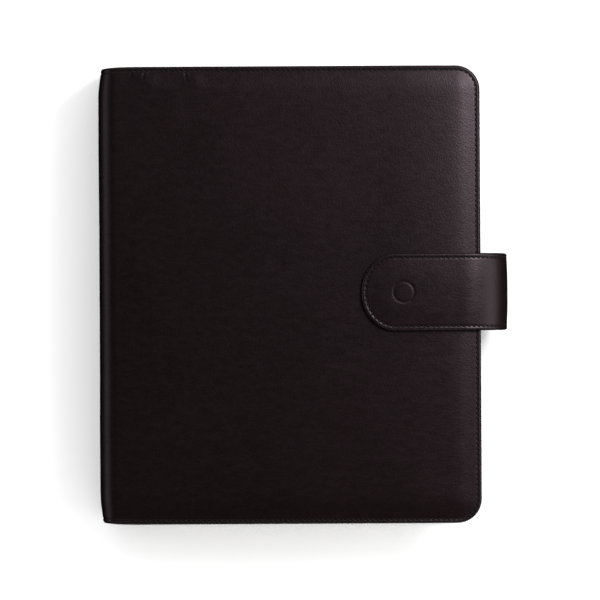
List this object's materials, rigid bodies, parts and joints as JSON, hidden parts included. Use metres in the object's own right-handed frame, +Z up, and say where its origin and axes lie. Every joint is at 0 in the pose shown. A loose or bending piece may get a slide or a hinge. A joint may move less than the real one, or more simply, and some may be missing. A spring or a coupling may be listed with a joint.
{
  "type": "leather ring organiser cover",
  "caption": "Closed padded leather notebook cover with a tab strap over the fore edge, a ring mechanism, pockets, a pen loop and punched pages.",
  "frame": {"origin": "centre of the back cover's outer face, on which the closed object lies", "axes": "+X from the spine to the fore edge, +Y to the top edge, +Z up through the closed thickness to the front cover"},
  "size_m": [0.2088, 0.235, 0.0437],
  "materials": {
    "cover_leather": "smooth pebbled dark aubergine-brown leather, soft sheen",
    "lining_leather": "matt dark lining leather",
    "padding_foam": "thin foam padding",
    "grey_board": "pressed grey board",
    "page_paper": "uncoated cream paper",
    "divider_card": "smooth card",
    "ring_chrome": "bright plated steel",
    "snap_metal": "antique plated press stud",
    "thread": "waxed dark sewing thread"
  },
  "bodies": {
    "back_cover": {"back_cover_leather": "cover_leather", "back_cover_padding": "padding_foam", "back_cover_board": "grey_board", "back_cover_lining": "lining_leather", "back_slip_pocket": "lining_leather", "pen_loop": "lining_leather", "strap_base": "cover_leather"},
    "spine": {"spine_leather": "cover_leather", "spine_board": "grey_board", "spine_lining": "lining_leather", "ring_shell": "ring_chrome", "ring_rivets": "ring_chrome", "lever_pins": "ring_chrome"},
    "front_cover": {"front_cover_leather": "cover_leather", "front_cover_padding": "padding_foam", "front_cover_board": "grey_board", "front_cover_lining": "lining_leather", "front_slip_pocket": "lining_leather", "card_pocket_top": "lining_leather", "card_pocket_middle": "lining_leather", "card_pocket_bottom": "lining_leather", "snap_stud": "snap_metal", "snap_post": "snap_metal"},
    "strap_riser": {"strap_riser_leather": "cover_leather", "strap_riser_lining": "lining_leather"},
    "strap_flap": {"strap_flap_leather": "cover_leather", "strap_stiffener": "grey_board", "strap_flap_lining": "lining_leather", "snap_socket": "snap_metal", "snap_cap": "snap_metal"},
    "rings_upper": {"ring_halves_upper": "ring_chrome", "ring_blade_upper": "ring_chrome"},
    "rings_lower": {"ring_halves_lower": "ring_chrome", "ring_blade_lower": "ring_chrome"},
    "lever_top": {"opening_lever_top": "ring_chrome"},
    "lever_bottom": {"opening_lever_bottom": "ring_chrome"},
    "pages_lower": {"page_block_lower": "page_paper", "divider_lower": "divider_card"},
    "pages_upper": {"page_block_upper": "page_paper", "divider_upper": "divider_card"}
  },
  "joints": [
    {"name": "cover_opening", "type": "hinge", "parent": "spine", "child": "front_cover", "pos_m": [-0.09475, 0, 0.037], "axis": [0, -1, 0], "range_deg": [0, 90]},
    {"name": "spine_opening", "type": "hinge", "parent": "back_cover", "child": "spine", "pos_m": [-0.09475, 0, 0.003], "axis": [0, -1, 0], "range_deg": [0, 90]},
    {"name": "pages_staying", "type": "hinge", "parent": "spine", "child": "pages_lower", "pos_m": [-0.08125, 0, 0.02], "axis": [0, 1, 0], "range_deg": [0, 90]},
    {"name": "pages_turning", "type": "hinge", "parent": "spine", "child": "pages_upper", "pos_m": [-0.08125, 0, 0.02], "axis": [0, -1, 0], "range_deg": [0, 90]},
    {"name": "strap_lowering", "type": "hinge", "parent": "back_cover", "child": "strap_riser", "pos_m": [0.10816, 0.0012, 0.00364], "axis": [0, 1, 0], "range_deg": [0, 90]},
    {"name": "strap_opening", "type": "hinge", "parent": "strap_riser", "child": "strap_flap", "pos_m": [0.10816, 0.0012, 0.04086], "axis": [0, 1, 0], "range_deg": [0, 90]},
    {"name": "rings_opening", "type": "hinge", "parent": "spine", "child": "rings_upper", "pos_m": [-0.09295, 0, 0.0254], "axis": [0, -1, 0], "range_deg": [0, 10]},
    {"name": "rings_parting", "type": "hinge", "parent": "spine", "child": "rings_lower", "pos_m": [-0.09295, 0, 0.0146], "axis": [0, 1, 0], "range_deg": [0, 10]},
    {"name": "top_lever_press", "type": "hinge", "parent": "spine", "child": "lever_top", "pos_m": [-0.0923, 0.092, 0.02], "axis": [0, 0, 1], "range_deg": [0, 10]},
    {"name": "bottom_lever_press", "type": "hinge", "parent": "spine", "child": "lever_bottom", "pos_m": [-0.0923, -0.092, 0.02], "axis": [0, 0, -1], "range_deg": [0, 10]}
  ],
  "couplings": [
    {"joint": "spine_opening", "follows": "cover_opening", "ratio": 1},
    {"joint": "pages_staying", "follows": "cover_opening", "ratio": 1},
    {"joint": "pages_turning", "follows": "cover_opening", "ratio": 1},
    {"joint": "rings_parting", "follows": "rings_opening", "ratio": 1},
    {"joint": "top_lever_press", "follows": "rings_opening", "ratio": 1},
    {"joint": "bottom_lever_press", "follows": "rings_opening", "ratio": 1}
  ]
}
